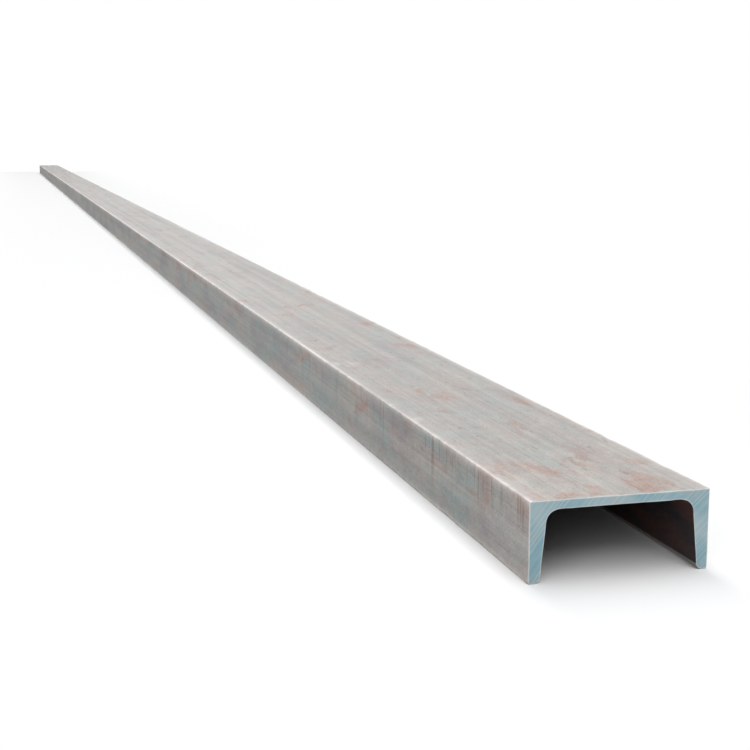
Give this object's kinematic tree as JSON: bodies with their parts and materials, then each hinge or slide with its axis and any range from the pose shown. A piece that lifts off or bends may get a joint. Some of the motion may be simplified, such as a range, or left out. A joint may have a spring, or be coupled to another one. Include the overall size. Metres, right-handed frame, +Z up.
{
  "type": "metal channel section",
  "caption": "Hot-rolled steel channel bar with a flat web, tapered flanges, filleted roots and rounded toes, lying web up.",
  "frame": {"origin": "on the floor, midway between the two flange toes and midway along the bar", "axes": "+Y along the bar, +X across the web from the left flange to the right flange, +Z up towards the back of the web"},
  "size_m": [0.12, 9, 0.052],
  "materials": {
    "rolled_steel": "dull grey mill scale with a light rust bloom"
  },
  "bodies": {
    "root": {"channel_section": "rolled_steel"}
  },
  "joints": []
}
